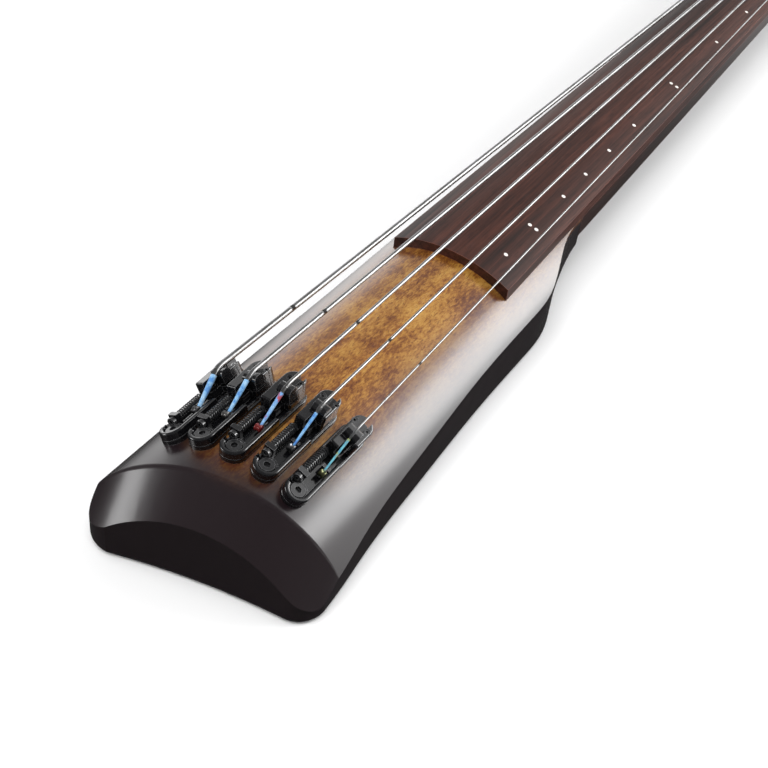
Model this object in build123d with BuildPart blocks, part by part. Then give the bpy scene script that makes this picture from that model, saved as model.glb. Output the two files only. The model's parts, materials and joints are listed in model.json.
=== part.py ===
from build123d import *
from math import asin, atan2, cos, degrees, hypot, radians, sin, sqrt, tan
import os

# Compact five-string fretless electric upright bass, lying on its back.
# Millimetres. Origin on the flat back, on the string centreline, under the
# saddles. +X is the treble side, +Y runs towards the head, +Z out of the front.

# ---- driving dimensions ----
scale_length = 864.0          # nut to saddle line
string_count = 5

body_crest = 54.4             # highest point of the arched front above the back
arch_radius = 72.0            # front of body, underside of fingerboard
board_crest = 60.0            # highest line of the fingerboard
board_radius = 86.8
board_end_y = 160.0
board_end_half = 38.2         # half width of the fingerboard at its body end
nut_half = 22.5
nut_length = 6.0

bevel_y = -57.0               # crease between front and end bevel, on the centreline
bevel_skew = 12.5             # the end runs askew to the strings, in degrees
bevel_slope = 39.0            # fall of the end bevel, in degrees
crease_radius = 4.0
heel_start_y = 214.0
heel_end_y = 262.0
heel_height = 24.5            # back of the body where the neck leaves it

neck_back_heel = 25.5
neck_back_nut = 37.5
neck_side_heel = 14.0         # upright sides below the fingerboard
neck_side_nut = 7.5
tenon_half = 24.0
tenon_start_y = 178.0
tenon_floor = 28.0

head_length = 215.0
head_thickness = 15.0
head_face = 51.0              # height of the head's face at the nut
head_tilt = 9.6

first_bridge_angle = 26.2     # bridges stand square to the arch, treble first
bridge_step = 14.0            # degrees round the arch from bridge to bridge
first_bridge_y = 1.6          # bass bridges sit further back, for compensation
bridge_y_step = 0.8
string_angles = (25.9, 12.8, -0.4, -14.0, -28.0)
string_heights = (17.5, 17.0, 16.5, 16.0, 16.0)   # string axis above the front
string_radii = (0.57, 0.83, 1.08, 1.33, 1.65)
nut_string_step = 9.0

base_width = 14.5
base_floor = 2.6
base_rear_y = -39.0           # centre of the rear round end, from the saddle line
base_front_y = 8.0
wall = 2.6
wall_top = 6.4
slider_bottom = 3.8
slider_top = 13.4
slider_rear_y = -11.0
screw_x = -4.2                # intonation screw, on the bass side of each bridge
screw_z = 5.9
screw_radius = 1.25
running_gap = 0.05
tail_x = 2.4                  # string end, on the treble side of each bridge
tail_y = -21.4
tail_z = 5.7

knob_ys = (50.0, 76.0, 102.0)
knob_names = ("volume", "bass", "treble")
control_z = 11.0
jack_y = 25.0

arch_axis_z = body_crest - arch_radius
board_axis_z = board_crest - board_radius


def arch_z(x):
    """Height of the arched front over a point at x."""
    return arch_axis_z + sqrt(arch_radius**2 - x**2)


def board_half(y):
    """Half width of the fingerboard at y."""
    share = (scale_length - y) / (scale_length - board_end_y)
    return nut_half + (board_end_half - nut_half) * share


def fret_y(number):
    """Where fret NUMBER would stand."""
    return scale_length * 2 ** (-number / 12)


def save(part, name):
    """Label the part and write its STEP file."""
    part.label = name
    export_step(part, f"parts/{name}.step")


os.makedirs("parts", exist_ok=True)

# The cylinder of the arched front, from behind the end to past the nut.
arch_length = 1200.0
with BuildPart() as arch_core:
    with BuildSketch(Plane.XZ.offset(150)):
        with Locations((0, arch_axis_z)):
            Circle(arch_radius)
    extrude(amount=-arch_length)

# Face of the head: X across, Y from the nut to the tip, Z out of the face.
head_plane = Plane(
    origin=(0, scale_length + nut_length, head_face),
    x_dir=(1, 0, 0),
    z_dir=(0, sin(radians(head_tilt)), cos(radians(head_tilt))),
)


def bridge_plane(index):
    """Frame of a bridge: X to the treble, Y along the strings, Z square to the arch."""
    angle = radians(first_bridge_angle - bridge_step * index)
    return Plane(
        origin=(
            arch_radius * sin(angle),
            first_bridge_y - bridge_y_step * index,
            arch_axis_z + arch_radius * cos(angle),
        ),
        x_dir=(cos(angle), 0, -sin(angle)),
        z_dir=(sin(angle), 0, cos(angle)),
    )


def saddle_point(index):
    """Axis of a string where it crosses its saddle."""
    angle = radians(string_angles[index])
    radius = arch_radius + string_heights[index]
    return Vector(
        radius * sin(angle),
        first_bridge_y - bridge_y_step * index,
        arch_axis_z + radius * cos(angle),
    )


# ================= body =================
side_right = [(65.0, -52.0), (60.8, -12.0), (56.8, 45.0), (53.4, 110.0), (52.4, 170.0),
              (50.4, 198.0), (44.2, 218.0), (38.3, 236.0), (35.9, heel_end_y)]
side_left = [(-60.4, -68.0), (-57.2, -12.0), (-52.6, 45.0), (-48.8, 110.0), (-47.9, 170.0),
             (-46.0, 198.0), (-41.2, 218.0), (-37.6, 236.0), (-35.9, heel_end_y)]
end_right = (50.0, -70.0)
end_left = (-40.0, -89.5)

# pockets in the back
cover_y = (10.0, 136.0)
cover_x = (-43.0, 22.0)
cover_thickness = 2.4
cavity_roof = 27.0
lid_y = (141.0, 199.0)
lid_half = 20.0
lid_thickness = 2.2
battery_roof = 21.0
plate_y = -44.0
plate_size = (46.0, 36.0)
plate_thickness = 2.5
boss_radius = 7.0
boss_depth = 14.0
stand_thread_radius = 3.4
screw_hole = 1.5

cover_centre = ((cover_x[0] + cover_x[1]) / 2, (cover_y[0] + cover_y[1]) / 2)
cover_size = (cover_x[1] - cover_x[0], cover_y[1] - cover_y[0])
cavity_size = (cover_size[0] - 14, cover_size[1] - 14)
cover_screws = (cover_size[0] - 8.5, cover_size[1] - 8.5)
lid_centre_y = (lid_y[0] + lid_y[1]) / 2
lid_size = (2 * lid_half, lid_y[1] - lid_y[0])
plate_screws = (plate_size[0] - 10, plate_size[1] - 10)
base_centre_y = (base_rear_y + base_front_y) / 2
base_span = base_front_y - base_rear_y

crease_plane = Plane(
    origin=(0, bevel_y, arch_axis_z),
    x_dir=(cos(radians(bevel_skew)), sin(radians(bevel_skew)), 0),
    z_dir=(sin(radians(bevel_skew)), -cos(radians(bevel_skew)), 0),
)
bevel_fall = Vector(0, 0, -sin(radians(bevel_slope)))
bevel_direction = crease_plane.z_dir * cos(radians(bevel_slope)) + bevel_fall

# Everything above the end bevel: the arch profile carried down the slope.
with BuildPart() as above_bevel:
    with BuildSketch(crease_plane):
        with Locations((0, 60)):
            Rectangle(260, 120)
        Ellipse(arch_radius / cos(radians(bevel_skew)), arch_radius, mode=Mode.SUBTRACT)
    extrude(amount=75, dir=bevel_direction)

# The pocket that takes the neck's tenon.
with BuildPart() as tenon_space:
    with BuildSketch(Plane.XY.offset(tenon_floor)):
        with Locations((0, (tenon_start_y + heel_end_y) / 2)):
            Rectangle(2 * tenon_half, heel_end_y - tenon_start_y)
    extrude(amount=60)

with BuildPart() as body:
    with BuildSketch():
        with BuildLine():
            Spline(*side_right, tangents=[(-0.05, 1), (0, 1)])
            Line(side_right[-1], side_left[-1])
            Spline(*reversed(side_left), tangents=[(0, -1), (-0.02, -1)])
            ThreePointArc(side_left[0], (-55.0, -84.0), end_left)
            ThreePointArc(end_left, (6.0, -76.8), end_right)
            ThreePointArc(end_right, (61.2, -65.0), side_right[0])
        make_face()
    extrude(amount=body_crest + 1)
    fillet(body.edges().group_by(Axis.Z)[0].filter_by(lambda e: e.length > 72 or e.center().Y < 250), 3)
    add(arch_core.part, mode=Mode.INTERSECT)
    add(above_bevel.part, mode=Mode.SUBTRACT)
    # soften the crease between front and end bevel
    fillet(body.edges().filter_by(GeomType.ELLIPSE).sort_by(SortBy.LENGTH)[-1], crease_radius)
    # heel: the back rises in a long curve to meet the neck
    with BuildSketch(Plane.YZ.offset(-60)):
        with BuildLine():
            Spline(
                (heel_start_y, 0), (heel_end_y + 1, heel_height), tangents=[(1, 0), (1, 0.25)]
            )
            Line((heel_end_y + 1, heel_height), (heel_end_y + 1, -5))
            Line((heel_end_y + 1, -5), (heel_start_y, -5))
            Line((heel_start_y, -5), (heel_start_y, 0))
        make_face()
    extrude(amount=120, mode=Mode.SUBTRACT)
    add(tenon_space.part, mode=Mode.SUBTRACT)
    # control cavity and the step for its cover
    with BuildSketch():
        with Locations(cover_centre):
            RectangleRounded(*cover_size, 6)
    extrude(amount=cover_thickness + 0.2, mode=Mode.SUBTRACT)
    with BuildSketch():
        with Locations(cover_centre):
            RectangleRounded(*cavity_size, 5)
    extrude(amount=cavity_roof, mode=Mode.SUBTRACT)
    # battery box recess
    with BuildSketch():
        with Locations((0, lid_centre_y)):
            Rectangle(lid_size[0] + 0.6, lid_size[1] + 0.6)
    extrude(amount=battery_roof, mode=Mode.SUBTRACT)
    # stand plate step and boss hole
    with BuildSketch():
        with Locations((0, plate_y)):
            Rectangle(*plate_size)
    extrude(amount=plate_thickness + 0.2, mode=Mode.SUBTRACT)
    with BuildSketch():
        with Locations((0, plate_y)):
            Circle(boss_radius + 0.2)
    extrude(amount=boss_depth + 1, mode=Mode.SUBTRACT)
    # pilot holes for the screws in the back
    with BuildSketch(Plane.XY.offset(cover_thickness)):
        with Locations(cover_centre):
            with GridLocations(*cover_screws, 2, 2):
                Circle(screw_hole)
        with Locations((0, plate_y)):
            with GridLocations(*plate_screws, 2, 2):
                Circle(screw_hole)
    extrude(amount=12, mode=Mode.SUBTRACT)
    # holes through the bass side for the controls and the jack
    with BuildSketch(Plane.YZ.offset(-70)):
        with Locations(*[(y, control_z) for y in knob_ys]):
            Circle(4.6)
        with Locations((jack_y, control_z)):
            Circle(6.1)
    extrude(amount=35, mode=Mode.SUBTRACT)
    # screw holes under each bridge
    for index in range(string_count):
        with BuildSketch(bridge_plane(index).offset(2)):
            with Locations((0, base_rear_y), (0, base_front_y)):
                Circle(2.05)
        extrude(amount=-19, mode=Mode.SUBTRACT)
save(body.part, "body")

# ================= neck and head =================
rod_half = 3.2
rod_axis_z = 44.6
rod_start_y = 200.0
rod_nut_y = scale_length + nut_length + 3
recess_length = 32.0


def neck_section(y, back, side):
    """Cross-section of the neck at y, left tall so that the arch can trim it."""
    half = board_half(y)
    low = arch_z(half) - side
    with BuildSketch(Plane.XZ.offset(-y)) as section:
        with BuildLine():
            Polyline((half, low), (half, 64), (-half, 64), (-half, low))
            ThreePointArc((-half, low), (0, back), (half, low))
        make_face()
    return section.sketch


neck_ends = [
    neck_section(heel_end_y, neck_back_heel, neck_side_heel),
    neck_section(scale_length + nut_length, neck_back_nut, neck_side_nut),
]
head_outline = [(22.4, 0), (22.4, 2), (33.5, 36), (38.5, 145), (36.0, 190), (24.0, head_length - 4)]
screw_reach = ((-7.5, -10.5), (7.5, -10.5))
post_radius = 5.0
posts = [(24.5, 68.0), (20.5, 108.0), (-18.0, 128.0), (-22.0, 88.0), (-25.5, 48.0)]
screw_places = [(x + dx, v + dv) for x, v in posts for dx, dv in screw_reach]

with BuildPart() as neck:
    loft(sections=neck_ends, ruled=True)
    add(tenon_space.part)
    add(arch_core.part, mode=Mode.INTERSECT)
    # head
    with BuildSketch(head_plane.offset(-head_thickness)):
        with BuildLine():
            Polyline((0, 0), *head_outline[:2])
            Spline(*head_outline[1:], tangents=[(0, 1), (-1, 0.35)])
            ThreePointArc(head_outline[-1], (12.5, head_length - 1), (0, head_length))
            mirror(about=Plane.YZ)
        make_face()
    extrude(amount=head_thickness)
    with BuildSketch(head_plane):
        with Locations((0, recess_length / 2 - 2)):
            SlotOverall(recess_length + 4, 13, rotation=90)
    extrude(amount=-11, mode=Mode.SUBTRACT)
    with BuildSketch(Plane.XY.offset(rod_axis_z - rod_half)):
        with Locations((0, (rod_start_y + scale_length + nut_length) / 2)):
            Rectangle(2 * rod_half, scale_length + nut_length - rod_start_y)
    extrude(amount=20, mode=Mode.SUBTRACT)
    with BuildSketch(head_plane.offset(1)):
        with Locations(*posts):
            Circle(7.0)
    extrude(amount=-head_thickness - 2, mode=Mode.SUBTRACT)
    with BuildSketch(head_plane.offset(-head_thickness)):
        with Locations(*screw_places):
            Circle(1.6)
    extrude(amount=9, mode=Mode.SUBTRACT)
save(neck.part, "neck")

with BuildPart() as board_blank:
    with BuildSketch(Plane.XZ.offset(-board_end_y)):
        with Locations((0, board_axis_z)):
            Circle(board_radius)
        with Locations((0, arch_axis_z)):
            Circle(arch_radius, mode=Mode.SUBTRACT)
    extrude(amount=-(scale_length - board_end_y))

single_dots = (3, 5, 7, 9, 15, 17, 19, 21, 27)
double_dots = (12, 24)
dot_share = 0.628
dot_radius = 1.25
dot_depth = 1.5
double_gap = 2.3
dot_places = [(dot_share * board_half(fret_y(n)), fret_y(n)) for n in single_dots]
dot_places += [
    (dot_share * board_half(fret_y(n)) + side, fret_y(n))
    for n in double_dots
    for side in (-double_gap, double_gap)
]


def board_z(x):
    """Height of the playing surface over a point at x."""
    return board_axis_z + sqrt(board_radius**2 - x**2)


with BuildPart() as dots:
    for x, y in dot_places:
        with BuildSketch(Plane.XY.offset(board_z(x) - dot_depth)):
            with Locations((x, y)):
                Circle(dot_radius)
        extrude(amount=dot_depth + 1)
    add(board_blank.part, mode=Mode.INTERSECT)
save(dots.part, "position_dots")

with BuildPart() as fingerboard:
    with BuildSketch():
        Polygon(
            (board_end_half, board_end_y),
            (nut_half, scale_length),
            (-nut_half, scale_length),
            (-board_end_half, board_end_y),
            align=None,
        )
    extrude(amount=60)
    add(board_blank.part, mode=Mode.INTERSECT)
    add(dots.part, mode=Mode.SUBTRACT)
save(fingerboard.part, "fingerboard")

# ================= strings =================
nut_crest = board_crest + 2.6
saddle_bend = 14.0            # strings bend over saddle and nut in these radii
nut_bend = 30.0


def nut_point(index):
    """Axis of a string where it leaves the nut towards the head."""
    x = nut_string_step * (2 - index)
    lift = 1.0 + string_radii[index]
    return Vector(x, scale_length + nut_length / 2, board_z(x) + lift)


def tail_point(index):
    """Axis of a string at its ball end."""
    return bridge_plane(index).from_local_coords(Vector(tail_x, tail_y, tail_z))


def wrap_geometry(index):
    """Centre and radius of a string's turn round its post, and where it touches."""
    px, pv = posts[index]
    radius = post_radius + 0.4 + string_radii[index]
    centre = head_plane.from_local_coords(Vector(px, pv, 9.0))
    start = nut_point(index)
    inward = Vector(-1 if px > 0 else 1, 0, 0)
    along = (centre - start).normalized()
    normal = along.cross(inward).normalized()
    distance = (centre - start).length
    swing = degrees(asin(radius / distance))
    side = along.rotate(Axis(origin=(0, 0, 0), direction=normal), swing)
    touch = start + side * sqrt(distance**2 - radius**2)
    return centre, touch, normal


def raised(before, corner, after, radius):
    """Corner moved outwards so that the rounded path still passes where it was."""
    back = (before - corner).normalized()
    ahead = (after - corner).normalized()
    half_turn = radians((180 - back.get_angle(ahead)) / 2)
    return corner - (back + ahead).normalized() * (radius * (1 / cos(half_turn) - 1))


def string_wire(index):
    """Ball end, over the saddle, over the nut, and most of a turn round the post."""
    centre, touch, normal = wrap_geometry(index)
    turn = Axis(origin=(0, 0, 0), direction=normal)
    spoke = touch - centre
    tail = tail_point(index)
    over_saddle = raised(tail, saddle_point(index), nut_point(index), saddle_bend)
    over_nut = raised(saddle_point(index), nut_point(index), touch, nut_bend)
    with BuildLine() as wire:
        FilletPolyline(tail, over_saddle, over_nut, touch, radius=[saddle_bend, nut_bend])
        ThreePointArc(
            touch, centre + spoke.rotate(turn, -135), centre + spoke.rotate(turn, -270)
        )
    return wire.line


def tube(path, radius):
    """A round rod along a path."""
    with BuildPart() as rod:
        with BuildSketch(Plane(origin=path @ 0, z_dir=path % 0)):
            Circle(radius)
        sweep(path=path)
    return rod.part


string_paths = [string_wire(index) for index in range(string_count)]
silk_thickness = 0.1
silk_length = 17.0
ball_radius = 2.1
for index in range(string_count):
    radius = string_radii[index]
    frame = bridge_plane(index)
    with BuildPart() as string:
        add(tube(string_paths[index], radius))
        with BuildSketch(frame * Plane((tail_x, tail_y - 1.8, tail_z), x_dir=(0, 1, 0), z_dir=(1, 0, 0))):
            Circle(ball_radius)
        extrude(amount=1.7, both=True)
        silk_start = Plane(origin=string_paths[index] @ 0, z_dir=string_paths[index] % 0)
        with BuildSketch(silk_start.offset(-0.5)):
            Circle(radius + silk_thickness)
        extrude(amount=silk_length)
    save(string.part, f"string_{index + 1}")

# ================= nut =================
groove_gap = 0.12
with BuildPart() as nut:
    with BuildSketch(Plane.XZ.offset(-scale_length)):
        with Locations((0, nut_crest - 90)):
            Circle(90)
        with Locations((0, arch_axis_z)):
            Circle(arch_radius, mode=Mode.SUBTRACT)
        with Locations((0, body_crest)):
            Rectangle(2 * nut_half, 30, mode=Mode.INTERSECT)
    extrude(amount=-nut_length)
    for index in range(string_count):
        point = nut_point(index)
        add(tube(string_paths[index], string_radii[index] + groove_gap), mode=Mode.SUBTRACT)
        with BuildSketch(Plane.XZ.offset(-scale_length + 1)):
            with Locations((point.X, point.Z + 3)):
                Rectangle(2 * (string_radii[index] + groove_gap), 6)
        extrude(amount=-nut_length - 2, mode=Mode.SUBTRACT)
save(nut.part, "nut")

# ================= truss rod =================
with BuildPart() as truss_rod:
    with BuildSketch(Plane.XY.offset(rod_axis_z - rod_half + 0.1)):
        with Locations((0, (rod_start_y + scale_length) / 2)):
            Rectangle(2 * rod_half - 0.2, scale_length - rod_start_y - 1)
    extrude(amount=2 * rod_half - 0.2)
    with BuildSketch(Plane.XZ.offset(-scale_length + 1)):
        with Locations((0, rod_axis_z)):
            Circle(2.0)
    extrude(amount=-(nut_length + 9))
save(truss_rod.part, "truss_rod")

with BuildPart() as truss_nut:
    with BuildSketch(Plane.XZ.offset(-rod_nut_y)):
        with Locations((0, rod_axis_z)):
            Circle(3.2)
    extrude(amount=-12)
    chamfer(truss_nut.edges().sort_by(Axis.Y)[-1], 0.5)
    with BuildSketch(Plane.XZ.offset(-rod_nut_y)):
        with Locations((0, rod_axis_z)):
            Circle(2.0 + running_gap)
    extrude(amount=-6, mode=Mode.SUBTRACT)
    with BuildSketch(Plane.XZ.offset(-rod_nut_y - 12)):
        with Locations((0, rod_axis_z)):
            RegularPolygon(2.2, 6)
    extrude(amount=5, mode=Mode.SUBTRACT)
save(truss_nut.part, "truss_rod_nut")

with BuildPart() as truss_cover:
    with BuildSketch(head_plane.offset(0.1)):
        with Locations((0, recess_length / 2 + 3)):
            RectangleRounded(19, recess_length + 3.4, 4)
    extrude(amount=1.8)
    fillet(truss_cover.faces().sort_by(Axis.Z)[-1].edges(), 0.5)
save(truss_cover.part, "truss_rod_cover")

# ================= bridges =================
for index in range(string_count):
    frame = bridge_plane(index)
    number = index + 1
    local_saddle = frame.to_local_coords(saddle_point(index))
    string_x = local_saddle.X
    string_radius = string_radii[index]
    crown = local_saddle.Z - string_radius
    up = Axis(origin=frame.origin, direction=frame.z_dir)
    across = Axis(origin=frame.origin, direction=frame.x_dir)

    with BuildPart() as base:
        with BuildSketch(frame.offset(-2)):
            with Locations((0, base_centre_y)):
                SlotCenterToCenter(base_span, base_width, rotation=90)
        extrude(amount=2 + base_floor)
        fillet(base.faces().sort_by(up)[-1].edges(), 0.9)
        # full wall on the treble side, running round the rear end
        with BuildSketch(frame.offset(base_floor - 1)):
            with Locations((0, base_centre_y)):
                SlotCenterToCenter(base_span, base_width - 0.4, rotation=90)
                SlotCenterToCenter(
                    base_span, base_width - 0.4 - 2 * wall, rotation=90, mode=Mode.SUBTRACT
                )
            with Locations((0, 4)):
                Rectangle(20, 33, mode=Mode.SUBTRACT)
            with Locations((-6, -20.5)):
                Rectangle(8, 32, mode=Mode.SUBTRACT)
        extrude(amount=wall_top - base_floor + 1)
        fillet(base.faces().sort_by(up)[-1].edges(), 1.1)
        # low kerb round the rest of the tray
        with BuildSketch(frame.offset(base_floor - 1)):
            with Locations((0, base_centre_y)):
                SlotCenterToCenter(base_span, base_width - 1.8, rotation=90)
                SlotCenterToCenter(
                    base_span, base_width - 3.2, rotation=90, mode=Mode.SUBTRACT
                )
        extrude(amount=1.9)
        # round well for the mounting screw
        with BuildSketch(frame.offset(base_floor - 1)):
            with Locations((0, base_rear_y)):
                Circle(5.4)
        extrude(amount=3.0)
        with BuildSketch(frame.offset(base_floor)):
            with Locations((0, base_rear_y)):
                Circle(4.3)
        extrude(amount=10, mode=Mode.SUBTRACT)
        # bearing block for the intonation screw
        with BuildSketch(frame.offset(base_floor - 1)):
            with Locations((screw_x, -31.7)):
                RectangleRounded(5.8, 2.8, 0.4)
        extrude(amount=7.4)
        with BuildSketch(frame * Plane.XZ.offset(40)):
            with Locations((screw_x, screw_z)):
                Circle(screw_radius + running_gap)
        extrude(amount=-30, mode=Mode.SUBTRACT)
        with BuildSketch(frame * Plane.XZ.offset(40)):
            with Locations((screw_x, screw_z)):
                Circle(2.8)
        extrude(amount=-6.8, mode=Mode.SUBTRACT)
        # forked anchor in front of the ball end
        with BuildSketch(frame.offset(base_floor - 1)):
            with Locations((2.1, -19.3)):
                Rectangle(4.6, 2.0)
        extrude(amount=5.2)
        with BuildSketch(frame * Plane.XZ.offset(22)):
            with Locations((tail_x, tail_z + 5)):
                Rectangle(2 * string_radius + 0.8, 2 * (string_radius + 5.4))
        extrude(amount=-6, mode=Mode.SUBTRACT)
        # screw holes, then the underside follows the arch
        with BuildSketch(frame.offset(6)):
            with Locations((0, base_rear_y), (0, base_front_y)):
                Circle(2.1)
        extrude(amount=-10, mode=Mode.SUBTRACT)
        with BuildSketch(frame.offset(base_floor)):
            with Locations((0, base_front_y)):
                Circle(4.1)
        extrude(amount=-1.6, mode=Mode.SUBTRACT)
        add(arch_core.part, mode=Mode.SUBTRACT)
    save(base.part, f"bridge_base_{number}")

    with BuildPart() as slider:
        with BuildSketch(frame.offset(slider_bottom)):
            with Locations((-1.4, -3)):
                RectangleRounded(9.0, 16, 0.9)
            with Locations((0, 3)):
                RectangleRounded(12.2, 12, 1.2)
            with Locations((0, 9)):
                Circle(6.1)
        extrude(amount=slider_top - slider_bottom)
        fillet(slider.faces().sort_by(up)[-1].edges(), 1.0)
        # channel for the string and pocket for the saddle
        with BuildSketch(frame * Plane.XZ.offset(12)):
            with Locations(((string_x + tail_x) / 2, slider_top)):
                Rectangle(2 * string_radius + 2.4, 2 * (slider_top - 8))
        extrude(amount=-40, mode=Mode.SUBTRACT)
        with BuildSketch(frame.offset(7.0)):
            with Locations((string_x, 0)):
                Rectangle(8.3, 7.2)
        extrude(amount=10, mode=Mode.SUBTRACT)
        with BuildSketch(frame * Plane.XZ.offset(12)):
            with Locations((screw_x, screw_z)):
                Circle(screw_radius + running_gap)
        extrude(amount=-21, mode=Mode.SUBTRACT)
        # two height screws in front of the saddle
        with BuildSketch(frame.offset(slider_top)):
            with Locations((string_x - 4.3, 8.4), (min(string_x + 4.3, 4.6), 8.4)):
                Circle(1.55)
        extrude(amount=-3.4, mode=Mode.SUBTRACT)
        with BuildSketch(frame.offset(slider_top - 3.3)):
            with Locations((string_x - 4.3, 8.4), (min(string_x + 4.3, 4.6), 8.4)):
                Circle(1.5)
                RegularPolygon(0.8, 6, mode=Mode.SUBTRACT)
        extrude(amount=2.9)
    save(slider.part, f"bridge_slider_{number}")

    with BuildPart() as saddle:
        with BuildSketch(frame.offset(8.6)):
            with Locations((string_x, 0)):
                Rectangle(8.0, 6.9)
        extrude(amount=crown + 0.8 - 8.6)
        fillet(saddle.edges().filter_by(across).group_by(up)[-1], 2.6)
        add(tube(string_paths[index], string_radius + groove_gap), mode=Mode.SUBTRACT)
    save(saddle.part, f"bridge_saddle_{number}")

    with BuildPart() as screw:
        with BuildSketch(frame * Plane.XZ.offset(35.3)):
            with Locations((screw_x, screw_z)):
                Circle(2.4)
                RegularPolygon(1.3, 6, mode=Mode.SUBTRACT)
        extrude(amount=-1.8)
        with BuildSketch(frame * Plane.XZ.offset(33.9)):
            with Locations((screw_x, screw_z)):
                Circle(screw_radius)
        extrude(amount=-36.9)
    save(screw.part, f"intonation_screw_{number}")

spring_turns = 12
spring_start_y = -30.2
spring_end_y = slider_rear_y - 0.2
spring_pitch = (spring_end_y - spring_start_y) / spring_turns
with BuildPart() as springs:
    for index in range(string_count):
        frame = bridge_plane(index)
        axis_start = frame.from_local_coords(Vector(screw_x, spring_start_y, screw_z))
        profile_plane = Plane(origin=axis_start, x_dir=(0, 1, 0), z_dir=frame.x_dir)
        with BuildSketch(profile_plane):
            with BuildLine():
                Line((0, 2.2), (0, 1.45))
                Line((0, 1.45), (spring_pitch * spring_turns, 1.45))
                Line((spring_pitch * spring_turns, 1.45), (spring_pitch * spring_turns, 2.2))
                for turn in range(spring_turns):
                    ThreePointArc(
                        (spring_pitch * turn, 2.2),
                        (spring_pitch * (turn + 0.5), 2.65),
                        (spring_pitch * (turn + 1), 2.2),
                    )
            make_face()
        revolve(axis=Axis(origin=axis_start, direction=(0, 1, 0)))
save(springs.part, "intonation_springs")

with BuildPart() as bridge_screws:
    for index in range(string_count):
        frame = bridge_plane(index)
        with BuildSketch(frame.offset(base_floor + 0.05)):
            with Locations((0, base_rear_y)):
                Circle(3.8)
        extrude(amount=2.6)
        with BuildSketch(frame.offset(base_floor + 2.65)):
            with Locations((0, base_rear_y)):
                RegularPolygon(1.9, 6)
        extrude(amount=-1.8, mode=Mode.SUBTRACT)
        with BuildSketch(frame.offset(base_floor - 1.5)):
            with Locations((0, base_front_y)):
                Circle(3.8)
        extrude(amount=1.4)
        with BuildSketch(frame.offset(base_floor + 0.05)):
            with Locations((0, base_rear_y)):
                Circle(2.0)
        extrude(amount=-16)
        with BuildSketch(frame.offset(base_floor - 1.5)):
            with Locations((0, base_front_y)):
                Circle(2.0)
        extrude(amount=-14)
save(bridge_screws.part, "bridge_mounting_screws")

# ================= tuning machines =================
# Each machine stands on the back of the head: gear on the post, worm on the key.
head_up = Axis(origin=head_plane.origin, direction=head_plane.z_dir)
plate_back = -head_thickness - 1.5
gear_back = plate_back - 4.6
worm_depth = plate_back - 3.4
gear_tip = 9.0
gear_root = 7.6
gear_teeth = 20
worm_radius = 3.2
worm_v = gear_tip + worm_radius + 0.1
key_inner = 44.0              # inner end of every key, from the centreline

with BuildPart() as bushings:
    with BuildSketch(head_plane.offset(-6)):
        with Locations(*posts):
            Circle(6.95)
            Circle(post_radius + running_gap, mode=Mode.SUBTRACT)
    extrude(amount=6)
    with BuildSketch(head_plane):
        with Locations(*posts):
            Circle(9.0)
            Circle(post_radius + running_gap, mode=Mode.SUBTRACT)
    extrude(amount=1.8)
save(bushings.part, "tuner_bushings")

plate_places = [(x, v + 3.0) for x, v in posts]
with BuildPart() as plates:
    with BuildSketch(head_plane.offset(-head_thickness)):
        with Locations(*plate_places):
            RectangleRounded(21, 33, 2.5)
        with Locations(*posts):
            Circle(post_radius + running_gap, mode=Mode.SUBTRACT)
        with Locations(*screw_places):
            Circle(1.6, mode=Mode.SUBTRACT)
    extrude(amount=-1.5)
    for x, v in posts:
        with BuildSketch(head_plane.offset(plate_back)):
            with Locations((x - 8.6, v + worm_v), (x + 8.6, v + worm_v)):
                Rectangle(2.6, 7.4)
        extrude(amount=-6.6)
        with BuildSketch(head_plane * Plane.YZ.offset(x - 12)):
            with Locations((v + worm_v, worm_depth)):
                Circle(2.0 + running_gap)
        extrude(amount=24, mode=Mode.SUBTRACT)
save(plates.part, "tuner_plates")

with BuildPart() as tuner_screws:
    with BuildSketch(head_plane.offset(plate_back)):
        with Locations(*screw_places):
            Circle(2.8)
    extrude(amount=-1.2)
    with BuildSketch(head_plane.offset(plate_back)):
        with Locations(*screw_places):
            Circle(1.5)
    extrude(amount=9)
save(tuner_screws.part, "tuner_screws")

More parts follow.
